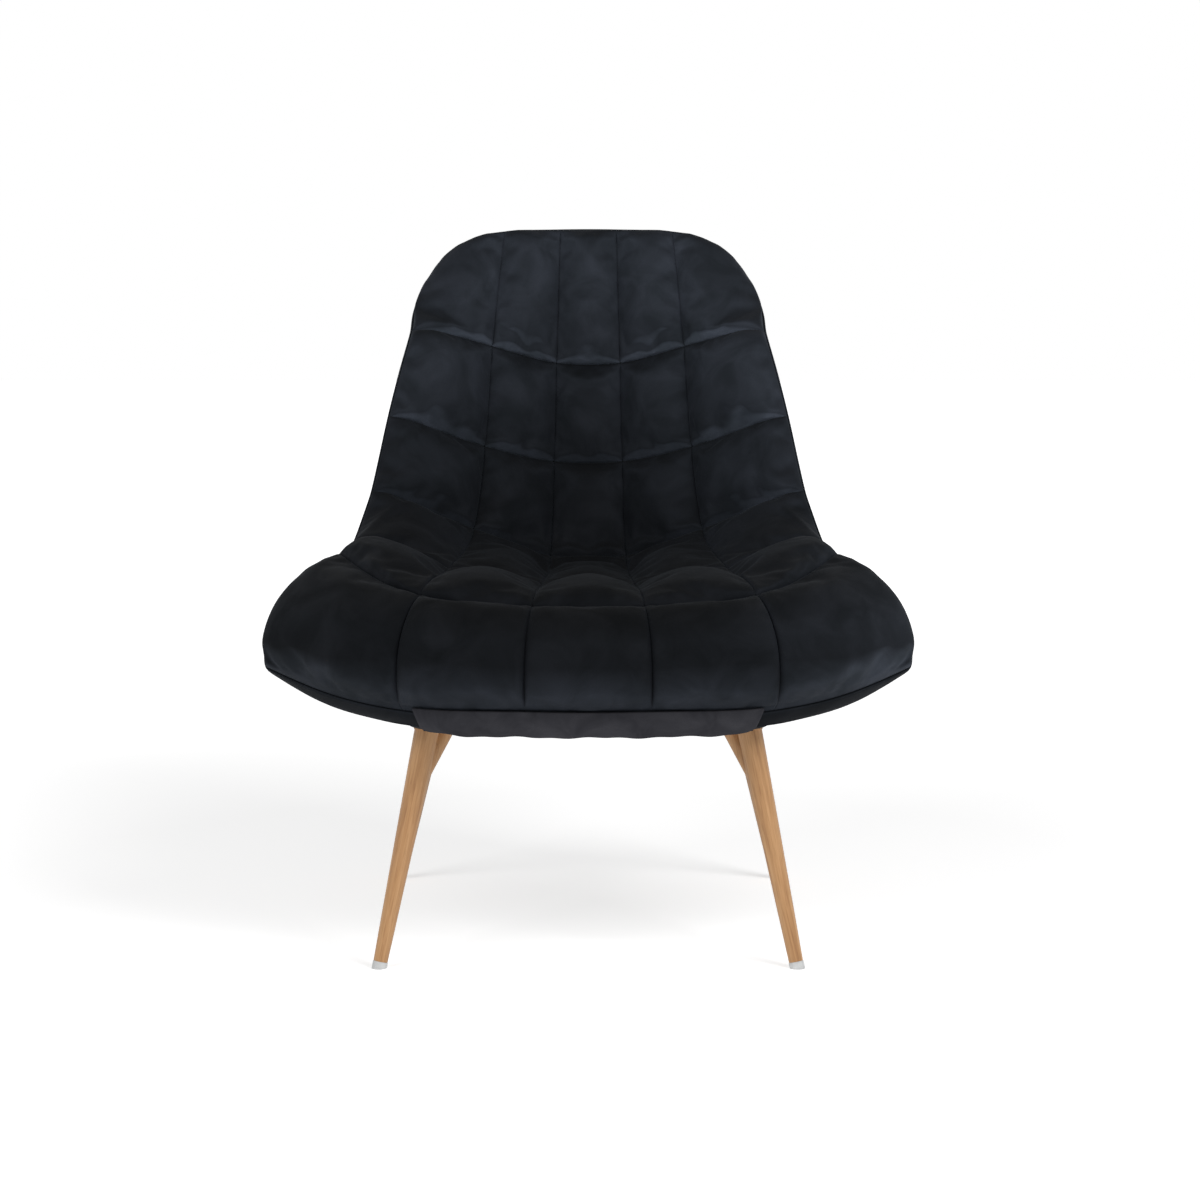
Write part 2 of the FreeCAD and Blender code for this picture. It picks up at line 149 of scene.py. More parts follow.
@dataclass(frozen=True)
class Velvet:
    """Cut-pile velvet: brushed patches, painted light and shade that lighten the head, the sides and
    down-facing surfaces and darken low and up-facing surfaces, and a pale sheen.
    """

    name: str
    dark: str = "#16191D"
    light: str = "#202329"
    sheen: float = 0.04
    sheen_colour: str = "#8C98A6"
    sheen_rough: float = 0.38
    gloss: float = 0.07
    rough: tuple[float, float] = (0.9, 0.72)
    patch: float = 0.055
    pile: float = 1400.0
    pile_depth: float = 0.0006
    # The tone fields below paint light and shade into the colour: painted light high up, at the sides and
    # facing down, painted shade low down and facing up.
    painted_tone_low: float = 0.42
    painted_tone_high: float = 2.3
    painted_tone_facing_down: float = 3.6
    painted_tone_facing_up: float = 0.25
    painted_facing_up_slope: tuple[float, float] = (0.45, 0.95)
    painted_light_lean: tuple[float, float, float] = (0.2, 0.0, 1.0)
    painted_side_light: float = 0.5
    painted_light_reach: tuple[float, float] = (0.45, 0.95)

    def painted_light_tone(self, tree: bpy.types.NodeTree, place: bpy.types.NodeSocket) -> bpy.types.NodeSocket:
        """Painted light and shade on the colour: lighter on surfaces facing down, towards the head and out to
        the sides, darker on surfaces facing up and lower down.

        Args:
            tree: Node tree to add to.
            place: Object coordinates.

        Returns:
            Factor on the colour.
        """
        slope = add_node(tree, "ShaderNodeSeparateXYZ", {
            "Vector": add_node(tree, "ShaderNodeNewGeometry").outputs["Normal"]})
        # Surfaces facing down get painted light, and painted shade where the factor is below one.
        painted_facing_down = add_node(tree, "ShaderNodeMapRange", {
            "Value": slope.outputs["Z"], "From Min": -0.5, "From Max": 0.0,
            "To Min": self.painted_tone_facing_down, "To Max": 1.0})
        # Painted shade on surfaces that face up.
        level = add_node(tree, "ShaderNodeMapRange", {
            "Value": slope.outputs["Z"], "From Min": self.painted_facing_up_slope[0], "From Max": self.painted_facing_up_slope[1],
            "To Min": 1.0, "To Max": self.painted_tone_facing_up})
        # Painted light that rises towards the head and out to both sides; painted shade lower down.
        painted_light_lean = add_node(tree, "ShaderNodeVectorMath", {0: place, 1: self.painted_light_lean}, operation="DOT_PRODUCT")
        painted_side_light = add_node(tree, "ShaderNodeMath", {
            0: add_node(tree, "ShaderNodeSeparateXYZ", {"Vector": place}).outputs["X"]},
            operation="ABSOLUTE")
        painted_light_reach = add_node(tree, "ShaderNodeMath", {
            0: painted_side_light.outputs["Value"], 1: self.painted_side_light, 2: painted_light_lean.outputs["Value"]},
            operation="MULTIPLY_ADD")
        high = add_node(tree, "ShaderNodeMapRange", {
            "Value": painted_light_reach.outputs["Value"], "From Min": self.painted_light_reach[0], "From Max": self.painted_light_reach[1],
            "To Min": self.painted_tone_low, "To Max": self.painted_tone_high}, interpolation_type="SMOOTHSTEP")
        both = add_node(tree, "ShaderNodeMath", {
            0: painted_facing_down.outputs["Result"], 1: level.outputs["Result"]}, operation="MULTIPLY")
        return add_node(tree, "ShaderNodeMath", {
            0: both.outputs["Value"], 1: high.outputs["Result"]}, operation="MULTIPLY").outputs["Value"]

    def material(self) -> bpy.types.Material:
        """Build the velvet.

        Returns:
            The material.
        """
        material, tree, shader = new_material(self.name)
        place = add_node(tree, "ShaderNodeTexCoord").outputs["Object"]
        nap = add_node(tree, "ShaderNodeTexNoise", {
            "Vector": place, "Scale": 1 / self.patch, "Detail": 3.0, "Roughness": 0.55,
            "Distortion": 0.8})
        pile = add_node(tree, "ShaderNodeTexNoise", {"Vector": place, "Scale": self.pile, "Detail": 2.0})
        brushed = add_node(tree, "ShaderNodeMapRange", {
            "Value": nap.outputs["Fac"], "From Min": 0.35, "From Max": 0.75})
        speck = add_node(tree, "ShaderNodeMath", {
            0: brushed.outputs["Result"], 1: pile.outputs["Fac"]}, operation="MULTIPLY")
        tone = ramp(tree, speck.outputs["Value"], [(0.0, linear(self.dark)), (0.6, linear(self.light))])
        # The colour is multiplied by the painted light and shade.
        painted_light_tone = add_node(tree, "ShaderNodeVectorMath", {
            0: tone, "Scale": self.painted_light_tone(tree, place)}, operation="SCALE")
        rough = add_node(tree, "ShaderNodeMapRange", {
            "Value": nap.outputs["Fac"], "From Min": 0.3, "From Max": 0.7,
            "To Min": self.rough[0], "To Max": self.rough[1]})
        bump = add_node(tree, "ShaderNodeBump", {
            "Height": pile.outputs["Fac"], "Strength": 0.25, "Distance": self.pile_depth})
        tree.links.new(painted_light_tone.outputs["Vector"], shader.inputs["Base Color"])
        tree.links.new(rough.outputs["Result"], shader.inputs["Roughness"])
        tree.links.new(bump.outputs["Normal"], shader.inputs["Normal"])
        shader.inputs["Specular IOR Level"].default_value = self.gloss
        shader.inputs["Sheen Weight"].default_value = self.sheen
        shader.inputs["Sheen Roughness"].default_value = self.sheen_rough
        shader.inputs["Sheen Tint"].default_value = linear(self.sheen_colour)
        return material


@dataclass(frozen=True)
class PrintedGrain:
    """Steel tube with a printed wood grain that runs along it."""

    name: str
    axis: tuple[float, float, float]
    pale: str = "#BE9468"
    mid: str = "#AD8257"
    dark: str = "#9A7049"
    stretch: float = 0.045
    figure: float = 150.0
    pores: float = 620.0

    def material(self) -> bpy.types.Material:
        """Build the printed grain, stretched along the tube.

        Returns:
            The material.
        """
        material, tree, shader = new_material(self.name)
        place = add_node(tree, "ShaderNodeTexCoord").outputs["Object"]
        turn = Vector(self.axis).rotation_difference(Vector((0, 0, 1))).to_euler()
        lie = add_node(tree, "ShaderNodeMapping", {"Vector": place, "Rotation": turn})
        long = add_node(tree, "ShaderNodeMapping", {
            "Vector": lie.outputs["Vector"], "Scale": (1.0, 1.0, self.stretch)})
        figure = add_node(tree, "ShaderNodeTexNoise", {
            "Vector": long.outputs["Vector"], "Scale": self.figure, "Detail": 5.0, "Roughness": 0.62,
            "Distortion": 0.6})
        pores = add_node(tree, "ShaderNodeTexNoise", {
            "Vector": long.outputs["Vector"], "Scale": self.pores, "Detail": 2.0, "Roughness": 0.5})
        tone = ramp(tree, figure.outputs["Fac"], [
            (0.30, linear(self.dark)), (0.46, linear(self.mid)), (0.68, linear(self.pale))])
        fleck = ramp(tree, pores.outputs["Fac"], [(0.34, (0.72, 0.66, 0.6, 1)), (0.46, (1, 1, 1, 1))])
        colour = add_node(tree, "ShaderNodeMix", {"Factor": 0.6}, data_type="RGBA",
                          blend_type="MULTIPLY")
        tree.links.new(tone, colour.inputs["A"])
        tree.links.new(fleck, colour.inputs["B"])
        tree.links.new(colour.outputs["Result"], shader.inputs["Base Color"])
        rough = add_node(tree, "ShaderNodeMapRange", {
            "Value": figure.outputs["Fac"], "To Min": 0.34, "To Max": 0.46})
        tree.links.new(rough.outputs["Result"], shader.inputs["Roughness"])
        shader.inputs["Specular IOR Level"].default_value = 0.4
        return material


@dataclass(frozen=True)
class Mottled:
    """Plain material whose tone and gloss wander a little."""

    name: str
    dark: str
    light: str
    grain: float
    stretch: tuple[float, float, float] = (1.0, 1.0, 1.0)
    rough: tuple[float, float] = (0.6, 0.8)
    metal: float = 0.0
    bump: float = 0.0

    def material(self) -> bpy.types.Material:
        """Build the mottled material.

        Returns:
            The material.
        """
        material, tree, shader = new_material(self.name)
        place = add_node(tree, "ShaderNodeTexCoord").outputs["Object"]
        lie = add_node(tree, "ShaderNodeMapping", {"Vector": place, "Scale": self.stretch})
        noise = add_node(tree, "ShaderNodeTexNoise", {
            "Vector": lie.outputs["Vector"], "Scale": 1 / self.grain, "Detail": 4.0, "Roughness": 0.6})
        tone = ramp(tree, noise.outputs["Fac"], [(0.3, linear(self.dark)), (0.7, linear(self.light))])
        rough = add_node(tree, "ShaderNodeMapRange", {
            "Value": noise.outputs["Fac"], "To Min": self.rough[0], "To Max": self.rough[1]})
        tree.links.new(tone, shader.inputs["Base Color"])
        tree.links.new(rough.outputs["Result"], shader.inputs["Roughness"])
        shader.inputs["Metallic"].default_value = self.metal
        if self.bump:
            height = add_node(tree, "ShaderNodeBump", {
                "Height": noise.outputs["Fac"], "Strength": 0.3, "Distance": self.bump})
            tree.links.new(height.outputs["Normal"], shader.inputs["Normal"])
        return material


def curve(knots: list[float], points: Grid, at: Grid) -> Grid:
    """Smooth curve through points at uneven knots.

    Args:
        knots: Rising parameter of each point.
        points: Points along the first axis.
        at: Parameters to evaluate.

    Returns:
        One point for every parameter.
    """
    knots = np.asarray(knots, float)
    step = np.diff(knots)
    shape = (-1,) + (1,) * (points.ndim - 1)
    wide = step.reshape(shape)
    slope = np.diff(points, axis=0) / wide
    tangent = np.empty_like(points)
    tangent[1:-1] = (slope[:-1] * wide[1:] + slope[1:] * wide[:-1]) / (wide[:-1] + wide[1:])
    tangent[0] = 1.5 * slope[0] - 0.5 * tangent[1]
    tangent[-1] = 1.5 * slope[-1] - 0.5 * tangent[-2]
    i = np.clip(np.searchsorted(knots, at, side="right") - 1, 0, len(step) - 1)
    t = ((at - knots[i]) / step[i]).reshape(shape)
    h = step[i].reshape(shape)
    return ((1 + 2 * t) * (1 - t) ** 2 * points[i] + t * (1 - t) ** 2 * h * tangent[i]
            + t * t * (3 - 2 * t) * points[i + 1] + t * t * (t - 1) * h * tangent[i + 1])


def run_curve(places: list[float], points: Grid, at: Grid) -> Grid:
    """Smooth curve through points, paced by the distance between them.

    Args:
        places: Rising place of each point.
        points: Points along the first axis.
        at: Places to evaluate.

    Returns:
        One point for every place.
    """
    steps = np.linalg.norm(np.diff(points, axis=0), axis=-1).reshape(len(places) - 1, -1).mean(axis=1)
    pace = np.concatenate([[0.0], np.cumsum(steps)])
    return curve(pace, points, np.interp(at, places, pace))


def unit(v: Grid) -> Grid:
    """Vectors of length one.

    Args:
        v: Vectors along the last axis.

    Returns:
        The same directions.
    """
    return v / np.maximum(np.linalg.norm(v, axis=-1, keepdims=True), 1e-12)


def facing(grid: Grid) -> Grid:
    """Directions out of a grid, towards the sitter.

    Args:
        grid: Points, rows down the chair and columns across it.

    Returns:
        One direction for every point.
    """
    return unit(np.cross(np.gradient(grid, axis=0), np.gradient(grid, axis=1)))


@dataclass(frozen=True)
class SeamNet:
    """The surface that the seams lie in, and the outside of the shell behind it, in metres."""

    half_width: float = 0.390
    depth: float = 0.695
    height: float = 0.560
    under: float = 0.285
    origin: float = 0.525
    shift: float = 0.017831
    wing_depth: float = 0.42
    wing_swell: float = 0.007
    tip_swell: float = 0.0045
    corner_lift: float = 0.008
    bow: float = 0.012
    bow_width: float = 0.050
    rim: float = 0.022
    tip: float = 0.040
    base: float = 0.2896
    flat_front: float = 0.203
    flat_rear: float = 0.206
    heel_back: float = 0.056
    heel_curve: float = 0.032
    rake: float = 0.0135
    core: tuple = ((0.024, 0.024), (0.044, 0.042), (0.062, 0.058), (0.116, 0.116))
    rows: tuple = (
        ((1.000, 1.006), (0.284, 0.988, 1.003), (0.452, 0.960, 0.966)),
        ((0.902, 0.693), (0.323, 0.859, 0.741), (0.562, 0.770, 0.797)),
        ((0.817, 0.472), (0.344, 0.760, 0.518), (0.627, 0.662, 0.605)),
        ((0.701, 0.265), (0.375, 0.640, 0.343), (0.672, 0.551, 0.451)),
        ((0.374, 0.250), (0.435, 0.378, 0.290), (0.742, 0.442, 0.354)),
        ((0.065, 0.261), (0.502, 0.101, 0.281), (0.774, 0.309, 0.341)),
        ((0.000, 0.059), (0.561, 0.043, 0.063), (0.988, 0.201, 0.116)),
    )
    pulls: dict = field(default_factory=lambda: {
        0: ((0.935, 0.850), (0.304, 0.905, 0.872), (0.590, 0.926, 0.892)),
        5: ((-0.070, 0.212), (0.575, -0.028, 0.226), (1.020, 0.228, 0.252)),
    })

    def line(self, centre: tuple, seam: tuple, rim: tuple) -> Grid:
        """Six points across the chair.

        Args:
            centre: Shares of depth and height on the centre line.
            seam: Shares of half width, depth and height on the long seam.
            rim: The same on the rim.

        Returns:
            Points from the left rim to the right one.
        """
        (cy, cz), (sx, sy, sz) = centre, seam
        short = (sx / 3, cy + (sy - cy) / 9, cz + (sz - cz) / 9)
        right = np.array([short, seam, rim], float)
        full = np.concatenate([right[::-1] * (-1, 1, 1), right])
        full -= (0, self.origin, 0)
        return full * (self.half_width, self.depth, self.height) + (0, self.shift, self.under)

    def at(self, row: int, share: float) -> Grid:
        """Six points across, part of the way down a row of panels.

        Args:
            row: Row of panels.
            share: Share of the way down it.

        Returns:
            Points from the left rim to the right one.
        """
        top, low = self.line(*self.rows[row]), self.line(*self.rows[min(row + 1, 6)])
        if row in self.pulls:
            pull = self.line(*self.pulls[row])
            return top * (1 - share) ** 2 + pull * 2 * share * (1 - share) + low * share ** 2
        return top + (low - top) * share

    def seams(self, v: Grid, u: Grid) -> Grid:
        """Seam surface.

        Args:
            v: Places down the chair, 0 at the top edge to 6 at the lowest seam.
            u: Places across, 0 at the left rim to 5 at the right one.

        Returns:
            Grid of points.
        """
        places = [0, 0.25, 0.5, 0.75, 1, 2, 3, 4, 5, 5.25, 5.5, 5.75, 6]
        knots = np.array([self.at(int(p), p - int(p)) for p in places])
        down = run_curve(places, knots, np.asarray(v, float))
        grid = run_curve([0, 1, 2, 3, 4, 5], down.swapaxes(0, 1), np.asarray(u, float)).swapaxes(0, 1)
        rim = np.where(np.asarray(u) < 2.5, 0, 5)
        far = np.linalg.norm(grid - down[:, rim], axis=2)
        turn = np.clip(1 - far / self.bow_width, 0, 1) ** 2 * (np.asarray(u) != 2.5)
        fade = np.clip((5.2 - np.asarray(v)) / 1.5, 0, 1)[:, None]
        return grid - facing(grid) * (self.bow * turn * fade)[..., None]

    def outer_line(self, row: int, share: float, along: float, out: Grid, line: Grid) -> Grid:
        """Eight points across the outside of the shell.

        Args:
            row: Row of panels.
            share: Share of the way down it.
            along: Share of the way along the underside, from heel to front; below zero on the back.
            out: Directions towards the sitter at the seam points.
            line: The seam points.

        Returns:
            Points from the left rim to the right one.
        """
        thick = self.rim + (self.tip - self.rim) * min(max(row + share - 3, 0) / 2, 1)
        rim = line[7] - unit(out[7] * (0.35, 1, 1)) * thick
        if row + share <= 3:
            here, there = np.array(self.core[row]), np.array(self.core[min(row + 1, 3)])
            centre, seam = here + (there - here) * share
            deep = np.array([centre, seam, self.wing_depth * (self.rim + seam)])[:, None]
            right = np.concatenate([line[4:7] - out[4:7] * deep, rim[None]])
        else:
            half = self.flat_rear + (self.flat_front - self.flat_rear) * along
            if row == 3:
                heel = self.at(3, 0)[3][1] + self.heel_back
                flat = [heel, heel - self.heel_curve]
            else:
                here, there = self.line(*self.rows[row]), self.line(*self.rows[min(row + 1, 6)])
                back = max(row + share - 5, 0) * self.rake
                flat = [here[c][1] + (there[c][1] - here[c][1]) * share + back for c in (3, 4)]
            lift = max(row + share - 5, 0) * self.corner_lift
            inner = np.array([[half / 3, flat[0], self.base], [half, flat[1], self.base + lift]])
            away = unit((rim - inner[1]) * (1, 1, 0))
            swell = self.wing_swell + self.tip_swell * max(row + share - 4.5, 0)
            wing = (inner[1] + rim) / 2 + (away - (0, 0, 1)) * swell
            right = np.concatenate([inner, wing[None], rim[None]])
        return np.concatenate([right[::-1] * (-1, 1, 1), right])

    def outside(self, v: Grid, u: Grid) -> Grid:
        """Outside of the shell.

        Args:
            v: Places down the chair, 0 at the top edge to 6 at the front.
            u: Places across, 0 at the left rim to 5 at the right one.

        Returns:
            Grid of points.
        """
        places = [0, 0.25, 0.5, 0.75, 1, 1.5, 2, 2.5, 3, 3.1, 3.2, 4, 5, 5.25, 5.5, 5.75, 6]
        lines = np.array([self.at(int(p), p - int(p)) for p in places])
        wide = np.stack([lines[:, 0], (lines[:, 0] + lines[:, 1]) / 2, lines[:, 1], lines[:, 2],
                         lines[:, 3], lines[:, 4], (lines[:, 4] + lines[:, 5]) / 2, lines[:, 5]], axis=1)
        out = np.empty_like(wide)
        for k in range(len(places)):
            run = wide[min(k + 1, len(places) - 1)] - wide[max(k - 1, 0)]
            sideways = np.array([wide[k][min(j + 1, 7)] - wide[k][max(j - 1, 0)] for j in range(8)])
            out[k] = unit(np.cross(run, sideways))
        grid = np.array([self.outer_line(int(p), p - int(p), (k - 10) / 6, out[k], wide[k])
                         for k, p in enumerate(places)])
        before, after = grid[8, 1:7], grid[10, 1:7]
        corner = np.stack([after[:, 0], before[:, 1], after[:, 2]], axis=1)
        grid[9, 1:7] = before * 0.25 + corner * 0.5 + after * 0.25
        down = run_curve(places, grid, np.asarray(v, float))
        across = [0, 0.5, 1, 2, 3, 4, 4.5, 5]
        full = run_curve(across, down.swapaxes(0, 1), np.asarray(u, float)).swapaxes(0, 1)
        full[..., 2] = np.maximum(full[..., 2], self.base)
        return full


def spaced(first: float, last: float, count: int) -> Grid:
    """Places between two seams, closer together near both.

    Args:
        first: First seam.
        last: Second seam.
        count: Number of steps.

    Returns:
        The places, both seams among them.
    """
    t = np.linspace(0, 1, count + 1)
    t = 0.55 * t + 0.45 * (0.5 - 0.5 * np.cos(math.pi * t))
    return first + (last - first) * t


def add_piece(name: str, points: Grid, faces: list, finish: bpy.types.Material,
              creased: set = frozenset(), levels: int = 1) -> bpy.types.Object:
    """Make a mesh piece of the chair.

    Args:
        name: Name of the piece.
        points: Its vertices, in metres.
        faces: Vertex numbers of each face.
        finish: Its material.
        creased: Edges, as pairs of vertex numbers, that stay sharp.
        levels: Subdivision levels.

    Returns:
        The object, linked to the scene.
    """
    mesh = bpy.data.meshes.new(name)
    mesh.from_pydata([tuple(p) for p in points], [], faces)
    mesh.materials.append(finish)
    mesh.shade_smooth()
    if creased:
        layer = mesh.attributes.new("crease_edge", "FLOAT", "EDGE")
        layer.data.foreach_set("value", [
            1.0 if tuple(sorted(e.vertices)) in creased else 0.0 for e in mesh.edges])
    piece = bpy.data.objects.new(name, mesh)
    bpy.context.scene.collection.objects.link(piece)
    if levels:
        modifier = piece.modifiers.new("Smooth", "SUBSURF")
        modifier.levels = modifier.render_levels = levels
    return piece


def closed(front: Grid, back: Grid, faces: list) -> tuple[Grid, list, set]:
    """Close a sheet with a back and a wall round its edge.

    Args:
        front: Vertices of the shown side.
        back: Vertices of the hidden side, in the same order.
        faces: Faces of the shown side.

    Returns:
        Vertices, faces and the edges of the wall.
    """
    count = len(front)
    used: dict[tuple, list] = {}
    for face in faces:
        for a, b in zip(face, face[1:] + face[:1]):
            used.setdefault(tuple(sorted((a, b))), []).append((a, b))
    every = list(faces) + [tuple(i + count for i in reversed(face)) for face in faces]
    edges: set = set()
    for pairs in used.values():
        if len(pairs) == 1:
            a, b = pairs[0]
            every.append((b, a, a + count, b + count))
            edges |= {tuple(sorted((a, b))), tuple(sorted((a + count, b + count)))}
    return np.concatenate([front, back]), every, edges


def cells(rows: int, columns: int) -> list[tuple]:
    """Faces of a plain grid, seen from the sitter's side.

    Args:
        rows: Number of points down.
        columns: Number of points across.

    Returns:
        Four vertex numbers for each face.
    """
    return [(k * columns + j, (k + 1) * columns + j, (k + 1) * columns + j + 1, k * columns + j + 1)
            for k in range(rows - 1) for j in range(columns - 1)]


def settle(piece: bpy.types.Object, slot: str, *nodes: str) -> bpy.types.Object:
    """Tie a piece to the frame and report it.

    Args:
        piece: Modelled piece.
        slot: Material slot of the record; not used.
        nodes: Frame nodes that it stands for.

    Returns:
        The piece.
    """
    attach(piece, "root")
    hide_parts(*nodes)
    LOG.info("%s stands for %s", piece.name, ", ".join(nodes))
    return piece


@dataclass
class QuiltedPad:
    """The quilted inside of the chair: one sheet of velvet drawn in along its seams, cut into panels."""

    net: SeamNet
    finish: bpy.types.Material
    shoulder: float = 0.0085
    crown: float = 0.0075
    round_seam: float = 0.020
    round_above: float = 0.026
    round_below: float = 0.012
    round_rim: float = 0.030
    wall: float = 0.42
    wall_swell: float = 0.0015
    seat_draw: float = 0.5
    back_draw: float = 0.75
    backing: float = 0.002
    across: tuple = (24, 18, 18, 18, 24)
    down: tuple = (26, 20, 20, 30, 28, 28)
    rings: int = 3
    most: float = 0.010
    pressure: float = 4.0
    steps: int = 20

    def lifted(self, v: Grid, u: Grid) -> tuple[Grid, Grid, Grid]:
        """Sheet before it is inflated.

        Args:
            v: Places down the chair.
            u: Places across it.

        Returns:
            Seam surface, directions out of it and crowned sheet.
        """
        base = self.net.seams(v, u)
        out = facing(base)
        column = np.clip(np.floor(u + 1e-9), 0, 4)
        row = np.clip(np.floor(v + 1e-9), 0, 5)
        a, b = np.clip(u - column, 0, 1), np.clip(v - row, 0, 1)
        length_u = np.linalg.norm(np.gradient(base, u, axis=1), axis=2)
        length_v = np.linalg.norm(np.gradient(base, v, axis=0), axis=2)

        def shoulder(distance: Grid, radius: Grid) -> Grid:
            t = np.clip(distance / radius, 0, 1)
            return np.sqrt(np.clip(1 - (1 - t) ** 2, 0, 1))

        rim_left = np.where(column == 0, self.round_rim, self.round_seam)
        rim_right = np.where(column == 4, self.round_rim, self.round_seam)
        high = np.where(row == 0, self.round_rim, self.round_above)[:, None]
        low = np.where(row == 5, self.round_rim, self.round_below)[:, None]
        soft = np.where(row >= 3, self.seat_draw, self.back_draw)[:, None]
        left, right = shoulder(a * length_u, rim_left), shoulder((1 - a) * length_u, rim_right)
        side = (np.where(column == 0, left, 1 - soft * (1 - left))
                * np.where(column == 4, right, 1 - soft * (1 - right)))
        ends = shoulder(b[:, None] * length_v, high) * shoulder((1 - b)[:, None] * length_v, low)
        swell = (4 * a * (1 - a)) * (4 * b * (1 - b))[:, None]
        lift = self.shoulder * side * ends + self.crown * swell
        return base, out, base + out * lift[..., None]

    def build(self) -> list[bpy.types.Object]:
        """Model, inflate and cut the sheet.

        Returns:
            Thirty closed panels.
        """
        u = np.unique(np.concatenate([spaced(c, c + 1, n) for c, n in enumerate(self.across)]).round(9))
        v = np.unique(np.concatenate([spaced(r, r + 1, n) for r, n in enumerate(self.down)]).round(9))
        base, out, sheet = self.lifted(v, u)
        nv, nu = len(v), len(u)
        front, back = [sheet.reshape(-1, 3)], [(base - out * self.backing).reshape(-1, 3)]
        faces = cells(nv, nu)
        row_of = np.clip(np.floor((v[:-1] + v[1:]) / 2), 0, 5).astype(int)
        column_of = np.clip(np.floor((u[:-1] + u[1:]) / 2), 0, 4).astype(int)
        owner = [(row_of[k], column_of[j]) for k in range(nv - 1) for j in range(nu - 1)]
        loop = ([(0, j) for j in range(nu - 1)] + [(k, nu - 1) for k in range(nv - 1)]
                + [(nv - 1, j) for j in range(nu - 1, 0, -1)] + [(k, 0) for k in range(nv - 1, 0, -1)])
        owners = ([(0, c) for c in column_of] + [(r, 4) for r in row_of]
                  + [(5, c) for c in column_of[::-1]] + [(r, 0) for r in row_of[::-1]])
        edge = np.array([base[k, j] for k, j in loop])
        shell = self.net.outside(v, u)
        wall = np.array([shell[k, j] for k, j in loop]) - edge
        centre = np.array([base[min(max(k, 2), nv - 3), min(max(j, 2), nu - 3)] for k, j in loop])
        away = unit(np.cross(np.roll(edge, -1, axis=0) - np.roll(edge, 1, axis=0), wall))
        away *= np.sign(np.sum(away * (edge - centre), axis=1))[:, None]
        numbers = [k * nu + j for k, j in loop]
        back[0][numbers] -= away * self.backing
        for ring in range(1, self.rings + 1):
            share = self.wall * ring / self.rings
            swell = self.wall_swell * math.sin(math.pi * ring / self.rings)
            front.append(edge + wall * share + away * swell)
            back.append(edge + wall * share - away * self.backing)
            start = nv * nu + (ring - 1) * len(loop)
            for i in range(len(loop)):
                n = (i + 1) % len(loop)
                above = start - len(loop)
                upper = (numbers[i], numbers[n]) if ring == 1 else (above + i, above + n)
                faces.append((upper[0], upper[1], start + n, start + i))
                owner.append(owners[i])
        front, back = np.concatenate(front), np.concatenate(back)
        pinned = np.zeros(len(front))
        on_seam = (np.isclose(v % 1, 0)[:, None] | np.isclose(u % 1, 0)[None, :]).ravel()
        pinned[:nv * nu][on_seam] = 1.0
        pinned[nv * nu:] = 1.0
        front = self.inflated(front, faces, pinned)
        panels = []
        for row in Row:
            for column in Column:
                own = [f for f, o in zip(faces, owner) if o == (row.value, column.value)]
                panels.append(self.panel(row, column, front, back, own))
        return panels

    def inflated(self, points: Grid, faces: list, pinned: Grid) -> Grid:
        """Blow the sheet up a little between its seams.

        Args:
            points: Vertices of the sheet.
            faces: Its faces.
            pinned: One for every vertex that is held, zero for the others.

        Returns:
            The vertices after the cloth has come to rest.
        """
        mesh = bpy.data.meshes.new("sheet")
        mesh.from_pydata([tuple(p) for p in points], [], faces)
        trial = bpy.data.objects.new("sheet", mesh)
        scene = bpy.context.scene
        scene.collection.objects.link(trial)
        group = trial.vertex_groups.new(name="held")
        group.add([int(i) for i in np.flatnonzero(pinned)], 1.0, "REPLACE")
        cloth = trial.modifiers.new("Cloth", "CLOTH")
        settings = cloth.settings
        settings.quality = 6
        settings.mass = 0.25
        settings.tension_stiffness = 18
        settings.compression_stiffness = 8
        settings.shear_stiffness = 6
        settings.bending_stiffness = 0.25
        settings.vertex_group_mass = group.name
        settings.use_pressure = True
        settings.uniform_pressure_force = self.pressure
        settings.shrink_min = -0.03
        settings.effector_weights.gravity = 0
        cloth.collision_settings.use_collision = False
        for step in range(1, self.steps + 1):
            scene.frame_set(step)
        shaped = trial.evaluated_get(bpy.context.evaluated_depsgraph_get()).to_mesh()
        after = np.empty(len(points) * 3)
        shaped.vertices.foreach_get("co", after)
        bpy.data.objects.remove(trial)
        bpy.data.meshes.remove(mesh)
        scene.frame_set(1)
        move = after.reshape(-1, 3) - points
        far = np.linalg.norm(move, axis=1)
        LOG.info("cloth moved %.1f mm on average and %.1f mm at most", far.mean() / MM, far.max() / MM)
        return points + move * (np.minimum(far, self.most) / np.maximum(far, 1e-9))[:, None]

    def panel(self, row: Row, column: Column, front: Grid, back: Grid, faces: list) -> bpy.types.Object:
        """One closed panel of the sheet.

        Args:
            row: Row of the panel.
            column: Column of the panel.
            front: Vertices of the whole sheet.
            back: The same vertices on its hidden side.
            faces: Faces of this panel.

        Returns:
            The panel.
        """
        used = sorted({i for face in faces for i in face})
        number = {old: new for new, old in enumerate(used)}
        own = [tuple(number[i] for i in face) for face in faces]
        points, every, edges = closed(front[used], back[used], own)
        node = f"{row.name.lower()}_{column.name.lower()}"
        piece = add_piece(f"{node}_panel", points, every, self.finish, edges)
        return settle(piece, "pad_velvet", node)


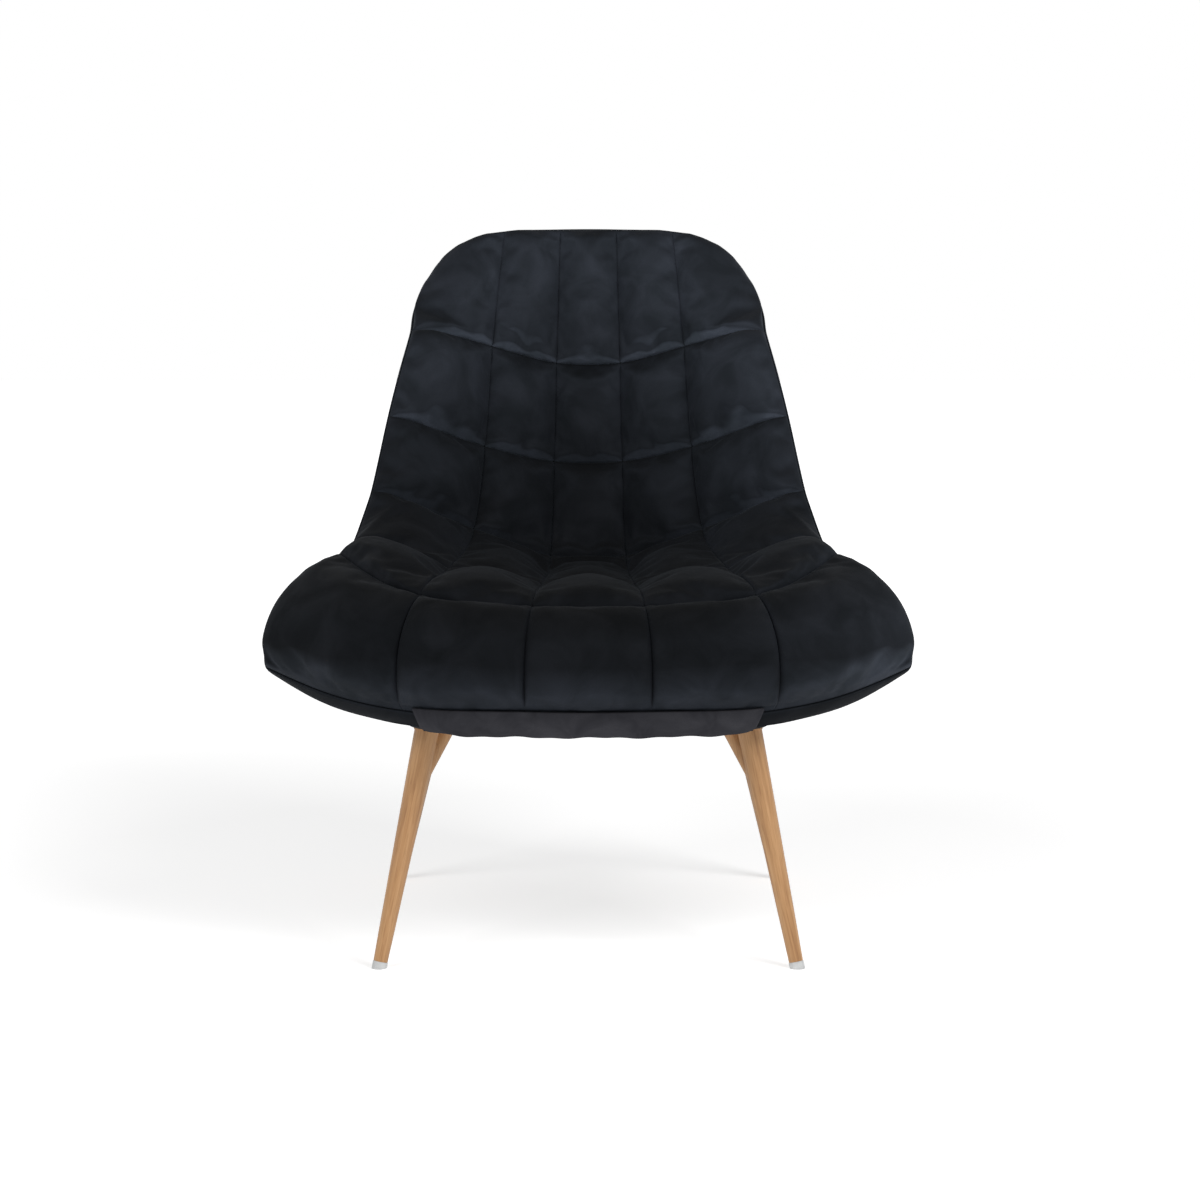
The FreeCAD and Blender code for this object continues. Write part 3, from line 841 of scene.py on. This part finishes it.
@dataclass
class OuterShell:
    """Foam behind the pad and the plain cover on the outside of the shell."""

    net: SeamNet
    velvet: bpy.types.Material
    trim: bpy.types.Material
    foam: bpy.types.Material
    wood: bpy.types.Material
    cover: float = 0.0036
    thick: float = 0.0024
    hem: float = 0.72
    hem_bulge: float = 0.002
    front_turn: float = 1.15
    border_from: float = 1.1
    border_slant: float = 0.05
    border_rake: float = 0.010
    shell: float = 0.009
    board_top: float = 0.3139
    gap: float = 0.003
    inset: float = 0.006
    rim_gap: float = 0.30

    def foam_block(self, node: str, v: tuple, u: tuple) -> bpy.types.Object:
        """Block of foam between pad and shell.

        Args:
            node: Frame node that the block stands for.
            v: First and last place down the chair.
            u: First and last place across it.

        Returns:
            The block.
        """
        down = np.linspace(v[0] + self.inset, v[1] - self.inset, int((v[1] - v[0]) * 16))
        rims = [self.rim_gap if edge in (0, 5) else self.inset for edge in u]
        side = np.linspace(u[0] + rims[0], u[1] - rims[1], int((u[1] - u[0]) * 8))
        seam = self.net.seams(down, side)
        front = seam - facing(seam) * self.gap
        outside = self.net.outside(down, side)
        back = outside + unit(seam - outside) * (self.shell + 0.001)
        flat = (down[:, None] > 3.15) & (side[None, :] > 0.9) & (side[None, :] < 4.1)
        back[..., 2] = np.where(flat, np.maximum(back[..., 2], self.board_top + 0.0005), back[..., 2])
        points, faces, edges = closed(front.reshape(-1, 3), back.reshape(-1, 3),
                                      cells(len(down), len(side)))
        piece = add_piece(f"{node}_block", points, faces, self.foam, edges, 0)
        return settle(piece, "cushion_foam", node)

    def shell_piece(self) -> bpy.types.Object:
        """Moulded shell between foam and cover, smooth where the frame's shell has flat fields.

        Returns:
            The shell.
        """
        down = np.linspace(0, 6, 97)
        side = np.unique(np.concatenate([spaced(c, c + 1, 10) for c in range(5)]).round(9))
        outside = self.net.outside(down, side)
        inside = outside + facing(outside) * (self.shell - 0.0004)
        points, faces, edges = closed(inside.reshape(-1, 3), outside.reshape(-1, 3),
                                      cells(len(down), len(side)))
        piece = add_piece("moulded_shell_form", points, faces, self.wood, edges, 0)
        return settle(piece, "moulded_plywood", "moulded_shell")

    def cover_piece(self, node: str, v: tuple, top: bool, front: bool) -> bpy.types.Object:
        """Plain cover on the shell, turned over the rim.

        Args:
            node: Frame node that the cover stands for.
            v: First and last place down the chair.
            top: Whether the first row is turned over the edge.
            front: Whether the ends of the last row are turned over the edge.

        Returns:
            The cover.
        """
        down = np.linspace(v[0], v[1], int((v[1] - v[0]) * 18) + 1)
        steps = enumerate((18, 12, 12, 12, 18))
        side = np.unique(np.concatenate([spaced(c, c + 1, n) for c, n in steps]).round(9))
        nv, nu = len(down), len(side)
        seam, shell = self.net.seams(down, side), self.net.outside(down, side)
        away = -facing(shell)
        base = shell + away * self.cover
        base[..., 2] = np.maximum(base[..., 2], self.net.base - self.cover)
        runs = [[(k, 0) for k in range(nv)], [(k, nu - 1) for k in range(nv)]]
        if top:
            runs = [[(k, 0) for k in range(nv - 1, 0, -1)] + [(0, j) for j in range(nu)]
                    + [(k, nu - 1) for k in range(1, nv)]]
        if front:
            left_end = [j for j in range(nu) if side[j] <= self.front_turn]
            right_end = [j for j in range(nu) if side[j] >= 5 - self.front_turn]
            runs = [[(nv - 1, j) for j in reversed(left_end)] + [(k, 0) for k in range(nv - 2, -1, -1)],
                    [(k, nu - 1) for k in range(nv)] + [(nv - 1, j) for j in reversed(right_end[:-1])]]
        points = [base.reshape(-1, 3)]
        inner = [(base - away * self.thick).reshape(-1, 3)]
        faces = [face[::-1] for face in cells(nv, nu)]
        count = nv * nu
        for run in runs:
            edge = np.array([shell[k, j] for k, j in run])
            rim = np.array([seam[k, j] for k, j in run])
            inside = np.array([shell[min(max(k, 2), nv - 3), min(max(j, 2), nu - 3)] for k, j in run])
            out = unit(np.cross(np.gradient(edge, axis=0), rim - edge))
            out *= np.sign(np.sum(out * (edge - inside), axis=1))[:, None]
            for _ in range(6):
                out[1:-1] = unit(out[:-2] + 2 * out[1:-1] + out[2:])
            numbers = [k * nu + j for k, j in run]
            points[0][numbers] += out * self.cover * 0.5
            last = numbers
            for share in (0.12, 0.32, 0.52, self.hem):
                bulge = self.cover + self.hem_bulge * math.sin(math.pi * share / self.hem)
                points.append(edge + (rim - edge) * share + out * bulge)
                inner.append(edge + (rim - edge) * share + out * (bulge - self.thick))
                fresh = list(range(count, count + len(run)))
                count += len(run)
                faces += [(last[i], last[i + 1], fresh[i + 1], fresh[i]) for i in range(len(run) - 1)]
                last = fresh
        front_points, back_points = np.concatenate(points), np.concatenate(inner)
        every, all_faces, edges = closed(front_points, back_points, faces)
        piece = add_piece(f"{node}_sheet", every, all_faces, self.velvet, edges)
        return settle(piece, "cover_velvet", node)

    def border(self) -> bpy.types.Object:
        """Plain strip between the lowest seam and the underside, with a slightly wavy lower edge.

        Returns:
            The strip.
        """
        first, last = self.border_from, 5 - self.border_from
        side = np.linspace(first, last, 61)
        seam = self.net.seams(np.array([5.98, 6.0]), side)[1] - (0, 0.0006, 0.0015)
        share = np.linspace(0, 1, 9)[:, None]
        wave = 0.0007 * np.sin(side * 9.1) + 0.0006 * np.sin(side * 21.7 + 1.0)
        taper = np.clip(np.minimum(side - first, last - side) / 0.35, 0, 1) ** 0.5
        drop = (seam[:, 2] - self.net.under + wave) * (0.82 + 0.18 * taper)
        bulge = 0.0035 * np.sin(math.pi * share)
        front = np.stack([seam[:, 0] * (1 - self.border_slant * share),
                          seam[:, 1] + share * self.border_rake - self.cover - bulge,
                          seam[:, 2] - share * drop], axis=2)
        back = front + (0, 0.003, 0)
        faces = cells(9, 61)
        points, every, edges = closed(front.reshape(-1, 3), back.reshape(-1, 3), faces)
        piece = add_piece("front_border_strip", points, every, self.trim, edges)
        return settle(piece, "cover_velvet", "front_border")

    def build(self) -> None:
        """Model the shell, the foam blocks, the covers and the border."""
        self.shell_piece()
        self.foam_block("back_foam", (0, 3), (1, 4))
        self.foam_block("seat_foam", (3, 6), (1, 4))
        self.foam_block("left_wing_foam", (0, 6), (0, 1))
        self.foam_block("right_wing_foam", (0, 6), (4, 5))
        self.cover_piece("outer_back_cover", (0.0, 3.0), True, False)
        self.cover_piece("outer_seat_cover", (3.0, 6.0), False, True)
        self.border()


@dataclass
class DustCover:
    """Thin black cloth stapled under the seat."""

    finish: bpy.types.Material
    sag: float = 0.0003
    cut_in: float = 0.09
    cut_from: float = -0.14
    cut_run: float = 0.12
    longest: float = 0.03
    rounds: int = 5

    def build(self) -> bpy.types.Object:
        """Model the cloth from the frame node's own outline, with a slight sag between its staples.

        Returns:
            The cloth.
        """
        form = bmesh.new()
        form.from_mesh(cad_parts["dust_cover"].data)
        bmesh.ops.remove_doubles(form, verts=form.verts, dist=1e-6)
        for _ in range(self.rounds):
            long = [edge for edge in form.edges if edge.calc_length() > self.longest]
            bmesh.ops.subdivide_edges(form, edges=long, cuts=1)
            bmesh.ops.triangulate(form, faces=form.faces)
        for vertex in form.verts:
            x, y, _ = vertex.co
            vertex.co.x -= x * self.cut_in * min(max((self.cut_from - y) / self.cut_run, 0), 1)
            wide, fine = math.sin(31 * x + 1.7) * math.sin(27 * y), math.sin(83 * x - 55 * y)
            vertex.co.z += self.sag * (wide + 0.4 * fine)
        mesh = bpy.data.meshes.new("dust_cover_sheet")
        form.to_mesh(mesh)
        form.free()
        mesh.materials.append(self.finish)
        piece = bpy.data.objects.new("dust_cover_sheet", mesh)
        bpy.context.scene.collection.objects.link(piece)
        return settle(piece, "dust_cloth", "dust_cover")


def zinc(part: str, dark: str, light: str, rough: tuple[float, float]) -> Mottled:
    """Zinc plating of a small steel part.

    Args:
        part: Ending of the material's name.
        dark: Darkest tone.
        light: Lightest tone.
        rough: Least and most roughness.

    Returns:
        The finish.
    """
    return Mottled(f"Zinc_plated_steel{part}", dark, light, 0.004, rough=rough, metal=1.0)


@dataclass(frozen=True)
class HardParts:
    """Frame nodes that are shown as they are, each with its own finish."""

    names: dict = field(default_factory=lambda: {
        "base_board": Mottled("Birch_plywood", "#BF9C70", "#D9BD92", 0.02, (0.12, 1, 1), (0.55, 0.7)),
        "leg_bolts": zinc("", "#A9ACAF", "#C9CCCE", (0.25, 0.4)),
        "leg_washers": zinc("_washer", "#A4A7AA", "#C4C7C9", (0.28, 0.42)),
        "tee_nuts": zinc("_nut", "#A0A3A6", "#C0C3C5", (0.3, 0.45)),
        "shell_screws": zinc("_screw", "#9C9FA2", "#BCBFC1", (0.3, 0.45)),
    })
    axes: dict = field(default_factory=lambda: {
        "front_left": (-0.057, -0.042, -0.281), "front_right": (0.057, -0.042, -0.281),
        "rear_left": (-0.062, 0.078, -0.281), "rear_right": (0.062, 0.078, -0.281)})

    def dress(self) -> None:
        """Give every shown frame node its material."""
        finishes = {node: finish.material() for node, finish in self.names.items()}
        glide = Mottled("Pale_grey_nylon", "#B4B5B5", "#CBCCCC", 0.006, rough=(0.35, 0.5)).material()
        for place, axis in self.axes.items():
            finishes[f"{place}_leg"] = PrintedGrain(f"Printed_beech_on_steel_{place}", axis).material()
            finishes[f"{place}_glide"] = glide
        for node, finish in finishes.items():
            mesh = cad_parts[node].data
            mesh.materials.clear()
            mesh.materials.append(finish)
            LOG.info("%s dressed in %s", node, finish.name)


@dataclass(frozen=True)
class Studio:
    """White floor, soft light and the camera."""

    camera: tuple[float, float, float] = (0.0, -4.382, 1.0)
    pitch: float = 7.381
    lens: float = 106.4
    shift: tuple[float, float] = (0.0098, -0.0218)
    floor: float = 9.0
    drop: float = -0.0005
    near_white: float = 0.56
    bounce: float = 0.45

    def area_light(self, name: str, place: tuple, target: tuple, size: float, power: float) -> None:
        """Add a soft square light.

        Args:
            name: Name of the light.
            place: Its place.
            target: Where it points.
            size: Side of the square.
            power: Power in watts.
        """
        data = bpy.data.lights.new(name, "AREA")
        data.size, data.energy = size, power
        light = bpy.data.objects.new(name, data)
        light.location = place
        light.rotation_euler = (Vector(target) - Vector(place)).to_track_quat("-Z", "Y").to_euler()
        bpy.context.scene.collection.objects.link(light)

    def build(self) -> None:
        """Set floor, world, lights and camera."""
        scene = bpy.context.scene
        mesh = bpy.data.meshes.new("floor")
        corners = [(x * self.floor, y * self.floor, self.drop) for x, y in ((-1, -1), (1, -1), (1, 1), (-1, 1))]
        mesh.from_pydata(corners, [], [(0, 1, 2, 3)])
        floor = bpy.data.objects.new("floor", mesh)
        scene.collection.objects.link(floor)
        material, tree, shader = new_material("White_studio_floor")
        shader.inputs["Base Color"].default_value = (0.82, 0.82, 0.82, 1)
        shader.inputs["Roughness"].default_value = 0.95
        shader.inputs["Specular IOR Level"].default_value = 0.0
        shader.inputs["Emission Color"].default_value = (1, 1, 1, 1)
        far = add_node(tree, "ShaderNodeVectorMath", {
            0: add_node(tree, "ShaderNodeTexCoord").outputs["Object"]}, operation="LENGTH")
        white = add_node(tree, "ShaderNodeMapRange", {
            "Value": far.outputs["Value"], "From Min": 0.8, "From Max": 3.0,
            "To Min": self.near_white, "To Max": 1.0})
        seen = add_node(tree, "ShaderNodeMapRange", {
            "Value": add_node(tree, "ShaderNodeLightPath").outputs["Is Camera Ray"], "To Min": self.bounce})
        tree.links.new(white.outputs["Result"], seen.inputs["To Max"])
        tree.links.new(seen.outputs["Result"], shader.inputs["Emission Strength"])
        mesh.materials.append(material)
        world = bpy.data.worlds.new("Studio")
        world.use_nodes = True
        scene.world = world
        tree = world.node_tree
        back = tree.nodes["Background"]
        way = add_node(tree, "ShaderNodeSeparateXYZ", {
            "Vector": add_node(tree, "ShaderNodeTexCoord").outputs["Generated"]})
        dome = add_node(tree, "ShaderNodeMapRange", {
            "Value": way.outputs["Z"], "From Min": 0.05, "From Max": 0.8, "To Min": 0.8, "To Max": 0.12})
        path = add_node(tree, "ShaderNodeLightPath")
        strength = add_node(tree, "ShaderNodeMath", {
            0: dome.outputs["Result"], 1: path.outputs["Is Camera Ray"]}, operation="MAXIMUM")
        for ray in ("Is Glossy Ray", "Is Transmission Ray"):
            strength = add_node(tree, "ShaderNodeMath", {
                0: strength.outputs["Value"], 1: path.outputs[ray]}, operation="MAXIMUM")
        back.inputs["Color"].default_value = (1, 1, 1, 1)
        tree.links.new(strength.outputs["Value"], back.inputs["Strength"])
        self.area_light("key", (1.8, -2.0, 2.5), (0, 0.1, 0.7), 1.5, 58)
        self.area_light("fill", (-2.0, -2.0, 2.4), (0, 0.1, 0.7), 1.6, 36)
        data = bpy.data.cameras.new("camera")
        data.lens, data.sensor_width = self.lens, 36.0
        data.shift_x, data.shift_y = self.shift
        camera = bpy.data.objects.new("camera", data)
        camera.location = self.camera
        camera.rotation_euler = (math.radians(90 - self.pitch), 0, 0)
        scene.collection.objects.link(camera)
        scene.camera = camera
        scene.view_settings.view_transform = "Standard"


def main() -> None:
    """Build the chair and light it."""
    net = SeamNet()
    pad_velvet = Velvet("Black_velvet").material()
    # Outer cover: painted light towards the top, painted shade on surfaces that face down.
    cover_velvet = Velvet("Black_velvet_outside", patch=0.09,
                          painted_tone_low=0.9, painted_tone_high=1.3, painted_tone_facing_down=0.6).material()
    # Border: painted light, 2.1 times brighter all over and brighter still on surfaces that face down.
    border_velvet = Velvet("Black_velvet_border", dark="#19191C", light="#242427", patch=0.04,
                           painted_tone_low=2.1, painted_tone_high=2.1, painted_tone_facing_down=1.2).material()
    foam = Mottled("Dark_cushion_foam", "#3A3A3A", "#4A4A4A", 0.004,
                   rough=(0.85, 0.95), bump=0.0006).material()
    cloth = Mottled("Black_nonwoven_cloth", "#17181A", "#26282A", 0.002,
                    rough=(0.8, 0.95), bump=0.0003).material()
    QuiltedPad(net, pad_velvet).build()
    wood = Mottled("Beech_plywood", "#C2A078", "#D8BC94", 0.02, (1, 1, 0.15), (0.55, 0.7)).material()
    OuterShell(net, cover_velvet, border_velvet, foam, wood).build()
    DustCover(cloth).build()
    HardParts().dress()
    Studio().build()


if __name__ == "__main__":
    main()
